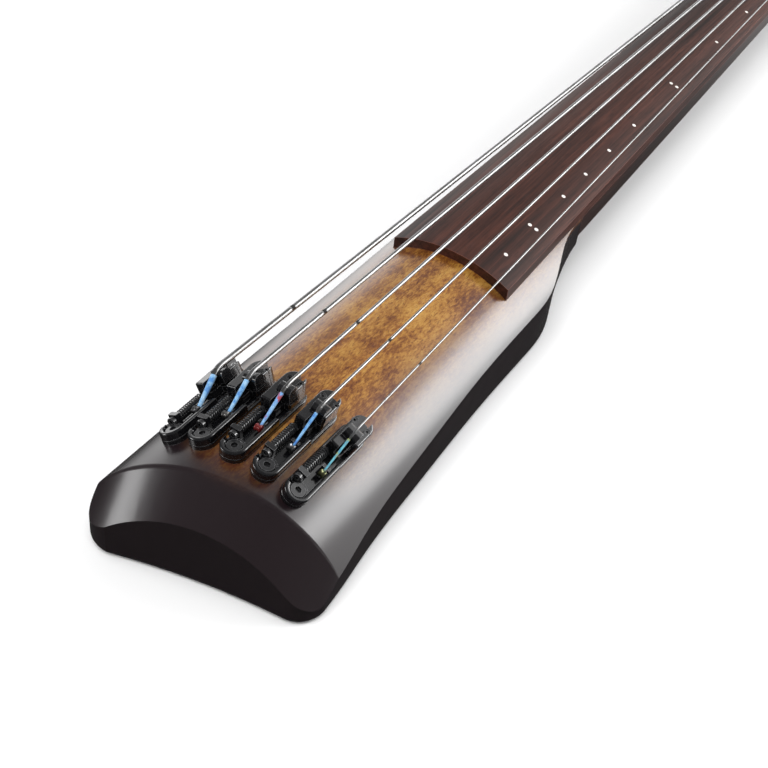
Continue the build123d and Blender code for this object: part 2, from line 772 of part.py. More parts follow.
for index, (x, v) in enumerate(posts):
    number = index + 1
    outward = 1 if x > 0 else -1
    with BuildPart() as post:
        with BuildSketch(head_plane.offset(gear_back)):
            with Locations((x, v)):
                Circle(post_radius)
        extrude(amount=22 - gear_back)
        with BuildSketch(head_plane.offset(17.5)):
            with Locations((x, v)):
                Circle(6.6)
        extrude(amount=4.5)
        fillet(post.faces().sort_by(head_up)[-1].edges(), 0.8)
        with BuildSketch(head_plane.offset(gear_back)):
            with Locations((x, v)):
                Circle(gear_root)
            with Locations((x, v)):
                with PolarLocations(gear_root, gear_teeth):
                    Trapezoid(1.5, 2.6, 75, rotation=-90, align=(Align.CENTER, Align.CENTER))
        extrude(amount=4.0)
        with BuildSketch(head_plane.offset(gear_back)):
            with Locations((x, v)):
                Circle(3.2)
        extrude(amount=-1.6)
        with BuildSketch(head_plane.offset(22)):
            with Locations((x, v)):
                Rectangle(2.2, 16)
        extrude(amount=-5, mode=Mode.SUBTRACT)
    save(post.part, f"tuner_post_{number}")

    with BuildPart() as key:
        with BuildSketch(head_plane * Plane.YZ.offset(x - 7)):
            with Locations((v + worm_v, worm_depth)):
                Circle(worm_radius)
        extrude(amount=14)
        with BuildSketch(head_plane * Plane.YZ.offset(x - outward * 10.4)):
            with Locations((v + worm_v, worm_depth)):
                Circle(2.0)
        extrude(amount=outward * (10.4 + key_inner + 3 - abs(x)))
        with BuildSketch(head_plane * Plane.YZ.offset(x + outward * 10.2)):
            with Locations((v + worm_v, worm_depth)):
                Circle(3.4)
        extrude(amount=outward * 3)
        # flat key with two rounded lobes
        with BuildSketch(head_plane.offset(worm_depth - 2.6)):
            with Locations((outward * (key_inner + 3), v + worm_v)):
                Rectangle(7, 9)
            with Locations((outward * (key_inner + 14), v + worm_v)):
                with GridLocations(0, 9, 1, 2):
                    Circle(7.6)
        extrude(amount=5.2)
    save(key.part, f"tuner_key_{number}")

# ================= back: covers, controls, battery, stand =================
with BuildPart() as control_cover:
    with BuildSketch(Plane.XY.offset(0.2)):
        with Locations(cover_centre):
            RectangleRounded(cover_size[0] - 0.4, cover_size[1] - 0.4, 5.8)
            with GridLocations(*cover_screws, 2, 2):
                Circle(1.7, mode=Mode.SUBTRACT)
    extrude(amount=cover_thickness)
    with BuildSketch(Plane.XY.offset(0.2)):
        with Locations(cover_centre):
            with GridLocations(*cover_screws, 2, 2):
                Circle(3.1)
    extrude(amount=1.3, mode=Mode.SUBTRACT)
save(control_cover.part, "control_cover")

with BuildPart() as stand_plate:
    with BuildSketch(Plane.XY.offset(0.2)):
        with Locations((0, plate_y)):
            RectangleRounded(plate_size[0] - 0.4, plate_size[1] - 0.4, 0.5)
            with GridLocations(*plate_screws, 2, 2):
                Circle(1.7, mode=Mode.SUBTRACT)
    extrude(amount=plate_thickness)
    with BuildSketch(Plane.XY.offset(0.2)):
        with Locations((0, plate_y)):
            Circle(boss_radius)
    extrude(amount=boss_depth)
    with BuildSketch(Plane.XY.offset(0.2)):
        with Locations((0, plate_y)):
            with GridLocations(*plate_screws, 2, 2):
                Circle(3.1)
    extrude(amount=1.3, mode=Mode.SUBTRACT)
    with BuildSketch():
        with Locations((0, plate_y)):
            Circle(stand_thread_radius)
    extrude(amount=20, mode=Mode.SUBTRACT)
save(stand_plate.part, "stand_plate")

with BuildPart() as back_screws:
    with BuildSketch(Plane.XY.offset(0.3)):
        with Locations(cover_centre):
            with GridLocations(*cover_screws, 2, 2):
                Circle(3.0)
        with Locations((0, plate_y)):
            with GridLocations(*plate_screws, 2, 2):
                Circle(3.0)
    extrude(amount=1.2)
    with BuildSketch(Plane.XY.offset(1.4)):
        with Locations(cover_centre):
            with GridLocations(*cover_screws, 2, 2):
                Circle(1.45)
        with Locations((0, plate_y)):
            with GridLocations(*plate_screws, 2, 2):
                Circle(1.45)
    extrude(amount=11)
save(back_screws.part, "back_screws")

pot_face_x = -35.0
with BuildPart() as preamp:
    with BuildSketch(Plane.XY.offset(23.4)):
        with Locations((-9.5, 73)):
            Rectangle(44, 100)
    extrude(amount=1.6)
    with BuildSketch(Plane.XY.offset(18)):
        with Locations((2, 50), (2, 73), (2, 96)):
            Rectangle(12, 9)
        with Locations((-13, 63), (-13, 89), (-13, 112)):
            Circle(3.5)
    extrude(amount=5.4)
    for y in knob_ys:
        with BuildSketch(Plane.YZ.offset(pot_face_x)):
            with Locations((y, control_z)):
                Circle(7.6)
                Circle(3.0 + running_gap, mode=Mode.SUBTRACT)
        extrude(amount=9)
        with BuildSketch(Plane.YZ.offset(pot_face_x)):
            with Locations((y, control_z)):
                Circle(4.5)
                Circle(3.0 + running_gap, mode=Mode.SUBTRACT)
        extrude(amount=-16.4)
        with BuildSketch(Plane.XY.offset(control_z + 6)):
            with Locations((pot_face_x + 6.5, y)):
                Rectangle(4, 8)
        extrude(amount=7)
save(preamp.part, "preamp")

for name, y in zip(knob_names, knob_ys):
    with BuildPart() as knob:
        with BuildSketch(Plane.YZ.offset(-53.0)):
            with Locations((y, control_z)):
                Circle(6.5)
                with PolarLocations(6.5, 18):
                    Circle(0.45, mode=Mode.SUBTRACT)
        extrude(amount=-8)
        chamfer(knob.faces().sort_by(Axis.X)[0].edges(), 0.3)
        with BuildSketch(Plane.YZ.offset(-53.0)):
            with Locations((y, control_z)):
                Circle(3.0)
        extrude(amount=24)
        with BuildSketch(Plane.YZ.offset(-61.1)):
            with Locations((y, control_z + 3.6)):
                Rectangle(0.8, 4)
        extrude(amount=0.6, mode=Mode.SUBTRACT)
    save(knob.part, f"knob_{name}")

with BuildPart() as jack:
    with BuildSketch(Plane.YZ.offset(-26.0)):
        with Locations((jack_y, control_z)):
            Circle(6.0)
    extrude(amount=-32.8)
    with BuildSketch(Plane.YZ.offset(-56.0)):
        with Locations((jack_y, control_z)):
            RegularPolygon(8.4, 6)
    extrude(amount=-2.4)
    with BuildSketch(Plane.YZ.offset(-28.0)):
        with Locations((jack_y, control_z)):
            Circle(3.25)
    extrude(amount=-32, mode=Mode.SUBTRACT)
save(jack.part, "output_jack")

hinge_y = lid_y[0] + 1.6
hinge_z = 1.5
with BuildPart() as battery_box:
    with BuildSketch():
        with Locations((0, lid_centre_y)):
            Rectangle(*lid_size)
            Rectangle(lid_size[0] - 3, lid_size[1] - 3, mode=Mode.SUBTRACT)
    extrude(amount=battery_roof - 0.2)
    with BuildSketch(Plane.XY.offset(battery_roof - 1.4)):
        with Locations((0, lid_centre_y)):
            Rectangle(*lid_size)
    extrude(amount=1.2)
    with BuildSketch():
        with Locations((0, lid_centre_y)):
            Rectangle(lid_size[0] - 2, lid_size[1] + 2)
    extrude(amount=3.2, mode=Mode.SUBTRACT)
    with BuildSketch(Plane.YZ.offset(-lid_half - 1)):
        with Locations((hinge_y, hinge_z)):
            Circle(0.75 + running_gap)
    extrude(amount=2 * lid_half + 2, mode=Mode.SUBTRACT)
save(battery_box.part, "battery_box")

with BuildPart() as battery:
    with BuildSketch(Plane.XY.offset(3.4)):
        with Locations((0, lid_centre_y)):
            RectangleRounded(26.0, 48.0, 2.5)
    extrude(amount=16.0)
    fillet(battery.faces().sort_by(Axis.Z)[-1].edges(), 0.8)
save(battery.part, "battery")

with BuildPart() as battery_lid:
    with BuildSketch(Plane.XY.offset(0.3)):
        with Locations((0, (hinge_y - 0.6 + lid_y[1] - 0.8) / 2)):
            Rectangle(lid_size[0] - 2.6, lid_y[1] - 0.8 - hinge_y + 0.6)
    extrude(amount=lid_thickness)
    with BuildSketch(Plane.YZ.offset(-lid_half + 0.1)):
        with Locations((hinge_y, hinge_z)):
            Circle(0.75)
    extrude(amount=2 * lid_half - 0.2)
save(battery_lid.part, "battery_lid")
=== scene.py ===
import json
import math

import bpy
from mathutils import Matrix, Vector


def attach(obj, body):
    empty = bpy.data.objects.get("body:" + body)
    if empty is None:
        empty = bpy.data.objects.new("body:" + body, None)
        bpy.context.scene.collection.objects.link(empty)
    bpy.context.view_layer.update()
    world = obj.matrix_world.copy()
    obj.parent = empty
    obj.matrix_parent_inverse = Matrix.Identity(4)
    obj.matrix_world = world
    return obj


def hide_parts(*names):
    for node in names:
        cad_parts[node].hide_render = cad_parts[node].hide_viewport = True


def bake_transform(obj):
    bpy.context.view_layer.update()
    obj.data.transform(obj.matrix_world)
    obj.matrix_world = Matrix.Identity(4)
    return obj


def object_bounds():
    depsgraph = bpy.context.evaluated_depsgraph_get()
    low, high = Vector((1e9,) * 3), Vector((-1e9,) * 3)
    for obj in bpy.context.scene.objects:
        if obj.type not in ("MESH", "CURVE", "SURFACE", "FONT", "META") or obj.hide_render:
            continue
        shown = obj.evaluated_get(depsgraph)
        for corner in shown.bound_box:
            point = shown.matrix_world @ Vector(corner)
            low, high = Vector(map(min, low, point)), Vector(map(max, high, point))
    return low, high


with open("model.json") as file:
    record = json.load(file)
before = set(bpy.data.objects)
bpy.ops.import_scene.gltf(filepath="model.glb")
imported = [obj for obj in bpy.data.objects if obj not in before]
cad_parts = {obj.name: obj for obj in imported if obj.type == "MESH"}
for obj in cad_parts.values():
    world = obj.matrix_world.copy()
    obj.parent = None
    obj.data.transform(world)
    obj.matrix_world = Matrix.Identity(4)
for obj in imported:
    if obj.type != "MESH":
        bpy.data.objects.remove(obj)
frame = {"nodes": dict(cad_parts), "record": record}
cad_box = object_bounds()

MM = 0.001
STRINGS = 5

# ---- sizes shared with the CAD model, in millimetres ----
SCALE_LENGTH = 864.0
ARCH_RADIUS = 72.0
ARCH_AXIS_Z = 54.4 - 72.0
BOARD_RADIUS = 86.8
BOARD_AXIS_Z = 60.0 - 86.8
FIRST_ANGLE = 26.2
ANGLE_STEP = 14.0
FIRST_Y = 1.6
Y_STEP = 0.8
STRING_ANGLES = (25.9, 12.8, -0.4, -14.0, -28.0)
STRING_HEIGHTS = (17.5, 17.0, 16.5, 16.0, 16.0)
STRING_RADII = (0.57, 0.83, 1.08, 1.33, 1.65)
TAIL = Vector((2.4, -21.4, 5.7))
SCREW_X = -4.2
SCREW_Z = 5.9
SPRING_START = -30.2
SPRING_END = -11.2
HEAD_ORIGIN = Vector((0, 870.0, 51.0))
HEAD_TILT = math.radians(9.6)
POSTS = ((24.5, 68.0), (20.5, 108.0), (-18.0, 128.0), (-22.0, 88.0), (-25.5, 48.0))
POST_RADIUS = 5.0


# ================= node graphs =================
class Graph:
    """A short way to write one material's nodes."""

    def __init__(self, name):
        self.material = bpy.data.materials.new(name)
        self.material.use_nodes = True
        self.tree = self.material.node_tree
        self.bsdf = self.tree.nodes["Principled BSDF"]
        self.coords = self.add("ShaderNodeTexCoord").outputs["Object"]

    def add(self, kind, **settings):
        node = self.tree.nodes.new(kind)
        for key, value in settings.items():
            setattr(node, key, value)
        return node

    def put(self, value, socket):
        if isinstance(value, bpy.types.NodeSocket):
            self.tree.links.new(value, socket)
        elif isinstance(value, tuple) and len(value) == 3 and socket.type == "RGBA":
            socket.default_value = (*value, 1.0)
        else:
            socket.default_value = value

    def scaled(self, scale, vector=None):
        node = self.add("ShaderNodeMapping")
        self.put(vector or self.coords, node.inputs["Vector"])
        node.inputs["Scale"].default_value = scale
        return node.outputs["Vector"]

    def noise(self, scale=1.0, detail=3.0, roughness=0.5, vector=None, distortion=0.0):
        node = self.add("ShaderNodeTexNoise")
        self.put(vector or self.coords, node.inputs["Vector"])
        node.inputs["Scale"].default_value = scale
        node.inputs["Detail"].default_value = detail
        node.inputs["Roughness"].default_value = roughness
        node.inputs["Distortion"].default_value = distortion
        return node.outputs["Fac"]

    def math(self, operation, a, b=0.0, clamp=False):
        node = self.add("ShaderNodeMath", operation=operation, use_clamp=clamp)
        self.put(a, node.inputs[0])
        self.put(b, node.inputs[1])
        return node.outputs[0]

    def span(self, value, low, high, to_low=0.0, to_high=1.0, smooth=True):
        kind = "SMOOTHSTEP" if smooth else "LINEAR"
        node = self.add("ShaderNodeMapRange", interpolation_type=kind)
        self.put(value, node.inputs["Value"])
        node.inputs["From Min"].default_value = low
        node.inputs["From Max"].default_value = high
        node.inputs["To Min"].default_value = to_low
        node.inputs["To Max"].default_value = to_high
        return node.outputs["Result"]

    def ramp(self, value, *stops):
        node = self.add("ShaderNodeValToRGB")
        self.put(value, node.inputs["Fac"])
        elements = node.color_ramp.elements
        while len(elements) < len(stops):
            elements.new(0.5)
        for element, (place, colour) in zip(elements, stops):
            element.position = place
            element.color = (*colour, 1.0)
        return node.outputs["Color"]

    def mix(self, share, a, b, blend="MIX"):
        node = self.add("ShaderNodeMix", data_type="RGBA", blend_type=blend)
        self.put(share, node.inputs["Factor"])
        self.put(a, node.inputs["A"])
        self.put(b, node.inputs["B"])
        return node.outputs["Result"]

    def axes(self):
        node = self.add("ShaderNodeSeparateXYZ")
        self.put(self.coords, node.inputs[0])
        return node.outputs[0], node.outputs[1], node.outputs[2]

    def edges(self, radius=0.0004):
        """1 along the edges of the shape, 0 on its faces."""
        bevel = self.add("ShaderNodeBevel", samples=4)
        bevel.inputs["Radius"].default_value = radius
        plain = self.add("ShaderNodeNewGeometry").outputs["Normal"]
        dot = self.add("ShaderNodeVectorMath", operation="DOT_PRODUCT")
        self.put(bevel.outputs["Normal"], dot.inputs[0])
        self.put(plain, dot.inputs[1])
        return self.span(dot.outputs["Value"], 0.995, 0.90)

    def bump(self, height, strength=0.1, distance=0.0005):
        node = self.add("ShaderNodeBump")
        node.inputs["Strength"].default_value = strength
        node.inputs["Distance"].default_value = distance
        self.put(height, node.inputs["Height"])
        self.put(node.outputs["Normal"], self.bsdf.inputs["Normal"])

    def surface(self, colour=None, roughness=None, **fixed):
        if colour is not None:
            self.put(colour, self.bsdf.inputs["Base Color"])
        if roughness is not None:
            self.put(roughness, self.bsdf.inputs["Roughness"])
        for key, value in fixed.items():
            self.bsdf.inputs[key.replace("_", " ")].default_value = value
        return self.material


# ================= materials =================
def burst_lacquer():
    """Figured amber wood under satin lacquer, shaded to black at every edge."""
    g = Graph("burst_lacquer")
    x, y, z = g.axes()
    flame = g.noise(1.0, 4.0, 0.60, g.scaled((70, 14, 70)), 0.5)
    fleck = g.noise(1.0, 5.0, 0.75, g.scaled((700, 230, 700)), 0.3)
    cloud = g.noise(1.0, 3.0, 0.55, g.scaled((45, 40, 45)), 0.6)
    pores = g.noise(1.0, 3.0, 0.55, g.scaled((1700, 330, 1700)))
    figure = g.math("ADD", g.math("MULTIPLY", flame, 0.26), g.math("MULTIPLY", fleck, 0.46))
    figure = g.math("ADD", figure, g.math("MULTIPLY", cloud, 0.28))
    wood = g.ramp(
        figure,
        (0.40, (0.100, 0.024, 0.006)),
        (0.47, (0.230, 0.082, 0.014)),
        (0.53, (0.400, 0.185, 0.034)),
        (0.62, (0.520, 0.290, 0.066)),
    )
    pore_mask = g.span(pores, 0.56, 0.70)
    wood = g.mix(g.math("MULTIPLY", pore_mask, 0.70), wood, (0.070, 0.014, 0.004))
    waver = g.math("MULTIPLY", g.math("SUBTRACT", g.noise(22.0, 3.0), 0.5), 0.22)
    across = g.math("DIVIDE", g.math("ABSOLUTE", x), 0.0345)
    behind = g.math("MAXIMUM", g.math("DIVIDE", g.math("SUBTRACT", 0.010, y), 0.046), 0.0)
    reach = g.math("SQRT", g.math("ADD", g.math("POWER", across, 2.0), g.math("POWER", behind, 2.0)))
    reach = g.math("ADD", reach, waver)
    red = g.span(reach, 0.60, 1.05)
    dark = g.span(reach, 0.92, 1.55)
    # the upright rim and the back are dark all round, wherever they lie below the arch
    arch = g.math("SQRT", g.math("SUBTRACT", (ARCH_RADIUS * MM) ** 2, g.math("POWER", x, 2.0)))
    below = g.math("SUBTRACT", g.math("ADD", arch, ARCH_AXIS_Z * MM), z)
    dark = g.math("MAXIMUM", dark, g.span(below, 0.0006, 0.0040))
    colour = g.mix(red, wood, g.mix(0.35, (0.062, 0.013, 0.008), wood, "MIX"))
    colour = g.mix(dark, colour, (0.0115, 0.0062, 0.0080))
    haze = g.noise(420.0, 2.0)
    g.bump(g.math("ADD", g.math("MULTIPLY", haze, 0.4), g.math("MULTIPLY", pores, 0.3)), 0.05, 0.0002)
    rough = g.span(g.noise(35.0, 4.0), 0.2, 0.8, 0.36, 0.46)
    return g.surface(
        colour, rough, Coat_Weight=1.0, Coat_Roughness=0.22, Coat_IOR=1.5, Specular_IOR_Level=0.25
    )


def dark_wood(name, light, dark, streak, rough, coat):
    """Straight-grained dark wood with fine pores along the neck, with a painted highlight along its edges."""
    g = Graph(name)
    grain = g.noise(1.0, 6.0, 0.65, g.scaled((420, 9, 420)), 0.5)
    broad = g.noise(1.0, 3.0, 0.5, g.scaled((60, 4, 60)), 0.3)
    pores = g.noise(1.0, 2.0, 0.5, g.scaled((1900, 80, 1900)))
    mixed = g.math("ADD", g.math("MULTIPLY", grain, 0.6), g.math("MULTIPLY", broad, 0.4))
    colour = g.ramp(mixed, (0.36, dark), (0.5, streak), (0.66, light))
    colour = g.mix(g.math("MULTIPLY", g.span(pores, 0.54, 0.68), 0.7), colour, dark)
    g.bump(g.math("SUBTRACT", grain, g.math("MULTIPLY", pores, 0.8)), 0.12, 0.0003)
    roughness = g.span(grain, 0.3, 0.7, rough + 0.06, rough - 0.05)
    # painted highlight: the edges are painted brighter to stand in for light caught along them
    painted_edge_highlight = g.math("MULTIPLY", g.edges(0.0006), 0.55)
    colour = g.mix(painted_edge_highlight, colour, tuple(min(1.0, c * 2.6 + 0.02) for c in light))
    g.put(colour, g.bsdf.inputs["Base Color"])
    return g.surface(None, roughness, Coat_Weight=coat, Coat_Roughness=0.3, Specular_IOR_Level=0.3)


def coated_metal(name, colour, edge, rough=0.22, coat=1.0, speck=900.0):
    """Painted or blacked metal: fine cast texture, edges painted brighter, partly as a painted highlight and
    partly as patchy rubbed wear.
    """
    g = Graph(name)
    grit = g.noise(speck, 3.0, 0.6)
    # painted highlight along the edges, broken into patches like rubbed wear
    edge_highlight_and_wear = g.math("MULTIPLY", g.edges(), g.span(g.noise(260.0, 3.0), 0.30, 0.62))
    base = g.mix(g.span(grit, 0.35, 0.75), colour, tuple(c * 1.7 for c in colour))
    shade = g.mix(g.math("MULTIPLY", edge_highlight_and_wear, 0.8), base, edge)
    roughness = g.span(grit, 0.2, 0.8, rough - 0.05, rough + 0.10)
    g.bump(grit, 0.03, 0.0001)
    return g.surface(shade, roughness, Coat_Weight=coat, Coat_Roughness=0.07, Metallic=0.2)


def bare_metal(name, colour, rough, scale, metallic=1.0):
    """Plain or plated metal with fine turning marks."""
    g = Graph(name)
    marks = g.noise(1.0, 4.0, 0.6, g.scaled(scale))
    shade = g.mix(g.span(marks, 0.3, 0.7), tuple(c * 0.72 for c in colour), colour)
    g.bump(marks, 0.08, 0.0001)
    return g.surface(shade, g.span(marks, 0.3, 0.7, rough - 0.06, rough + 0.08), Metallic=metallic)


def plastic(name, colour, rough, speck=1200.0, strength=0.10):
    """Moulded plastic with a fine texture and a little handling wear."""
    g = Graph(name)
    grain = g.noise(speck, 3.0, 0.6)
    rub = g.noise(38.0, 4.0, 0.6)
    shade = g.mix(g.span(rub, 0.35, 0.75), colour, tuple(min(1.0, c * 1.35 + 0.004) for c in colour))
    g.bump(grain, strength, 0.0002)
    return g.surface(shade, g.span(rub, 0.3, 0.7, rough - 0.05, rough + 0.07))


def board_green():
    """Circuit board with tracks and dark parts."""
    g = Graph("circuit_board")
    x, y, z = g.axes()
    wave = g.add("ShaderNodeTexWave", wave_type="BANDS", bands_direction="X")
    g.put(g.coords, wave.inputs["Vector"])
    wave.inputs["Scale"].default_value = 120.0
    wave.inputs["Distortion"].default_value = 3.0
    tracks = g.span(wave.outputs["Fac"], 0.62, 0.7)
    colour = g.mix(tracks, (0.012, 0.075, 0.030), (0.03, 0.16, 0.07))
    parts = g.span(z, 0.0232, 0.0228)
    colour = g.mix(parts, colour, (0.02, 0.02, 0.022))
    g.bump(tracks, 0.2, 0.0002)
    return g.surface(colour, g.span(tracks, 0, 1, 0.5, 0.3))


def winding_steel():
    """Round-wound steel string: fine turns with painted shade between them, bright where it has been played.
    """
    g = Graph("string_steel")
    wave = g.add("ShaderNodeTexWave", wave_type="BANDS", bands_direction="Y", wave_profile="SIN")
    g.put(g.coords, wave.inputs["Vector"])
    wave.inputs["Scale"].default_value = 900.0
    turns = wave.outputs["Fac"]
    tarnish = g.noise(60.0, 4.0, 0.6)
    shade = g.ramp(tarnish, (0.3, (0.26, 0.258, 0.25)), (0.7, (0.42, 0.42, 0.425)))
    # painted shade: the grooves between the turns are darkened
    shade = g.mix(g.math("MULTIPLY", g.span(turns, 0.35, 0.0), 0.35), shade, (0.12, 0.12, 0.12))
    g.bump(turns, 0.12, 0.0001)
    return g.surface(shade, g.span(tarnish, 0.3, 0.7, 0.24, 0.36), Metallic=1.0)


def silk(name, first, second, third):
    """Coloured silk thread lapped round the tail of a string."""
    g = Graph(name)
    wave = g.add("ShaderNodeTexWave", wave_type="BANDS", bands_direction="Y", wave_profile="SIN")
    g.put(g.scaled((1, 1, 0.6)), wave.inputs["Vector"])
    wave.inputs["Scale"].default_value = 640.0
    wave.inputs["Distortion"].default_value = 1.2
    threads = wave.outputs["Fac"]
    patch = g.noise(240.0, 3.0, 0.6)
    colour = g.ramp(patch, (0.36, third), (0.47, first), (0.62, second))
    # painted shade: the grooves between the lapped threads are darkened
    colour = g.mix(g.math("MULTIPLY", g.span(threads, 0.5, 0.0), 0.45), colour, tuple(c * 0.3 for c in first))
    g.bump(threads, 0.6, 0.00015)
    return g.surface(colour, 0.62, Sheen_Weight=0.4, Sheen_Roughness=0.4)


LOOKS = {
    "burst_lacquer": burst_lacquer(),
    "neck_wood": dark_wood(
        "neck_wood", (0.050, 0.016, 0.012), (0.008, 0.003, 0.003), (0.026, 0.008, 0.007), 0.36, 0.6
    ),
    "fingerboard_wood": dark_wood(
        "fingerboard_wood", (0.112, 0.036, 0.023), (0.012, 0.005, 0.004), (0.054, 0.017, 0.011), 0.46, 0.10
    ),
    "pearl_plastic": plastic("pearl_plastic", (0.86, 0.85, 0.80), 0.25, 900.0, 0.04),
    "nut_plastic": plastic("nut_plastic", (0.012, 0.012, 0.012), 0.3),
    "rod_steel": bare_metal("rod_steel", (0.52, 0.52, 0.54), 0.34, (900, 60, 900)),
    "black_plastic": plastic("black_plastic", (0.012, 0.012, 0.013), 0.42),
    "circuit_board": board_green(),
    "battery_jacket": coated_metal("battery_jacket", (0.03, 0.03, 0.035), (0.4, 0.4, 0.4), 0.34),
    "plated_steel": bare_metal("plated_steel", (0.62, 0.61, 0.58), 0.26, (500, 500, 500)),
    "black_bridge_metal": coated_metal("black_bridge_metal", (0.0045, 0.0045, 0.0055), (0.30, 0.30, 0.31)),
    "black_screw_steel": coated_metal("black_screw_steel", (0.012, 0.012, 0.013), (0.26, 0.26, 0.27), 0.3),
    "string_steel": winding_steel(),
    "black_tuner_metal": coated_metal("black_tuner_metal", (0.010, 0.010, 0.011), (0.22, 0.22, 0.23)),
}
BALLS = (
    bare_metal("ball_gilt", (0.26, 0.27, 0.14), 0.32, (900, 900, 900)),
    bare_metal("ball_grey", (0.30, 0.30, 0.31), 0.36, (900, 900, 900)),
    coated_metal("ball_red", (0.14, 0.012, 0.012), (0.4, 0.2, 0.18)),
    bare_metal("ball_dull", (0.32, 0.31, 0.30), 0.38, (900, 900, 900)),
    bare_metal("ball_dark", (0.26, 0.26, 0.27), 0.38, (900, 900, 900)),
)
SILKS = (
    silk("silk_green", (0.10, 0.42, 0.62), (0.20, 0.60, 0.70), (0.42, 0.45, 0.10)),
    silk("silk_blue", (0.14, 0.40, 0.80), (0.32, 0.60, 0.90), (0.06, 0.20, 0.60)),
    silk("silk_red", (0.18, 0.42, 0.82), (0.36, 0.62, 0.92), (0.50, 0.06, 0.07)),
    silk("silk_sky", (0.20, 0.48, 0.84), (0.42, 0.68, 0.94), (0.08, 0.26, 0.66)),
    silk("silk_pale", (0.24, 0.52, 0.86), (0.46, 0.70, 0.95), (0.10, 0.30, 0.70)),
)

slots = {part["node"]: part["material_slot"] for part in frame["record"]["subparts"]}
for name, obj in frame["nodes"].items():
    look = LOOKS[slots[name]]
    if not obj.material_slots:
        obj.data.materials.append(look)
    for holder in obj.material_slots:
        holder.material = look


# ================= shapes =================
def bridge_frame(index):
    """Local to row frame for a bridge: X to the treble, Z square to the arch."""
    angle = math.radians(FIRST_ANGLE - ANGLE_STEP * index)
    across = Vector((math.cos(angle), 0, -math.sin(angle)))
    up = Vector((math.sin(angle), 0, math.cos(angle)))
    place = up * ARCH_RADIUS + Vector((0, FIRST_Y - Y_STEP * index, ARCH_AXIS_Z))
    rotation = Matrix((across, Vector((0, 1, 0)), up)).transposed().to_4x4()
    return Matrix.Translation(place) @ rotation


def saddle_point(index):
    angle = math.radians(STRING_ANGLES[index])
    up = Vector((math.sin(angle), 0, math.cos(angle)))
    return up * (ARCH_RADIUS + STRING_HEIGHTS[index]) + Vector((0, FIRST_Y - Y_STEP * index, ARCH_AXIS_Z))


def nut_point(index):
    x = 9.0 * (2 - index)
    z = BOARD_AXIS_Z + math.sqrt(BOARD_RADIUS**2 - x**2) + 1.0 + STRING_RADII[index]
    return Vector((x, SCALE_LENGTH + 3.0, z))


def head_point(x, v, w):
    tilt_cos = math.cos(HEAD_TILT)
    tilt_sin = math.sin(HEAD_TILT)
    return HEAD_ORIGIN + Vector((x, v * tilt_cos + w * tilt_sin, -v * tilt_sin + w * tilt_cos))


def rounded(before, corner, after, radius, steps=10):
    """Points of an arc that rounds a corner and still passes where the corner was."""
    back = (before - corner).normalized()
    ahead = (after - corner).normalized()
    half = (math.pi - back.angle(ahead)) / 2
    inward = (back + ahead).normalized()
    tip = corner - inward * (radius * (1 / math.cos(half) - 1))
    centre = tip + inward * (radius / math.cos(half))
    start = tip + back * (radius * math.tan(half))
    axis = back.cross(ahead).normalized()
    spoke = start - centre
    turn = 2 * half
    if (Matrix.Rotation(turn, 3, axis) @ spoke + centre - tip).dot(ahead) < 0:
        turn = -turn
    return [centre + Matrix.Rotation(turn * i / steps, 3, axis) @ spoke for i in range(steps + 1)]


def along(a, b, count):
    """Points from a to b, without b."""
    return [a.lerp(b, i / count) for i in range(count)]


def tube(name, points, radius, look, sides=16, caps=True):
    """A round tube through points in millimetres; radius is one number or one per point."""
    radii = radius if isinstance(radius, list) else [radius] * len(points)
    vertices = []
    faces = []
    side = None
    for i, point in enumerate(points):
        ahead = points[min(i + 1, len(points) - 1)] - points[max(i - 1, 0)]
        ahead.normalize()
        if side is None:
            side = ahead.orthogonal().normalized()
        side = (side - ahead * side.dot(ahead)).normalized()
        other = ahead.cross(side)
        for k in range(sides):
            angle = 2 * math.pi * k / sides
            offset = side * math.cos(angle) + other * math.sin(angle)
            vertices.append((point + offset * radii[i]) * MM)
    for i in range(len(points) - 1):
        for k in range(sides):
            after = (k + 1) % sides
            faces.append((i * sides + k, i * sides + after, (i + 1) * sides + after, (i + 1) * sides + k))
    if caps:
        faces.append(tuple(reversed(range(sides))))
        faces.append(tuple(range((len(points) - 1) * sides, len(points) * sides)))
    return piece(name, vertices, faces, look)


def piece(name, vertices, faces, look):
    mesh = bpy.data.meshes.new(name)
    mesh.from_pydata([tuple(v) for v in vertices], [], faces)
    mesh.update()
    for polygon in mesh.polygons:
        polygon.use_smooth = len(polygon.vertices) == 4
    obj = bpy.data.objects.new(name, mesh)
    bpy.context.scene.collection.objects.link(obj)
    mesh.materials.append(look)
    return obj


def lathe(name, matrix, profile, look, sides=32):
    """A turned shape: profile of (height, radius) about the matrix's Z axis, in millimetres."""
    vertices = []
    faces = []
    for height, radius in profile:
        for k in range(sides):
            angle = 2 * math.pi * k / sides
            vertices.append(
                (matrix @ Vector((radius * math.cos(angle), radius * math.sin(angle), height))) * MM
            )
    for i in range(len(profile) - 1):
        for k in range(sides):
            after = (k + 1) % sides
            faces.append((i * sides + k, i * sides + after, (i + 1) * sides + after, (i + 1) * sides + k))
    faces.append(tuple(reversed(range(sides))))
    faces.append(tuple(range((len(profile) - 1) * sides, len(profile) * sides)))
    return piece(name, vertices, faces, look)


def split_at(points, y):
    """The stretch's points below and above y, both ending exactly there."""
    for i in range(len(points) - 1):
        a, b = points[i], points[i + 1]
        if (a.y - y) * (b.y - y) <= 0 and a.y != b.y:
            cut = a.lerp(b, (y - a.y) / (b.y - a.y))
            low = points[: i + 1] + [cut]
            high = [cut] + points[i + 1:]
            return low, high
    raise ValueError("no crossing")


def densify(points, gap):
    """The same line with points no further apart than gap."""
    result = []
    for a, b in zip(points, points[1:]):
        result += along(a, b, max(1, math.ceil((b - a).length / gap)))
    return result + [points[-1]]


def silk_radius(radius, y, low, high):
    """The lapped tail is thick by the saddle and tapers to the ball."""
    share = min(1.0, max(0.0, (y - low) / (high - low)))
    return radius * (0.55 + 0.50 * share) + 0.14


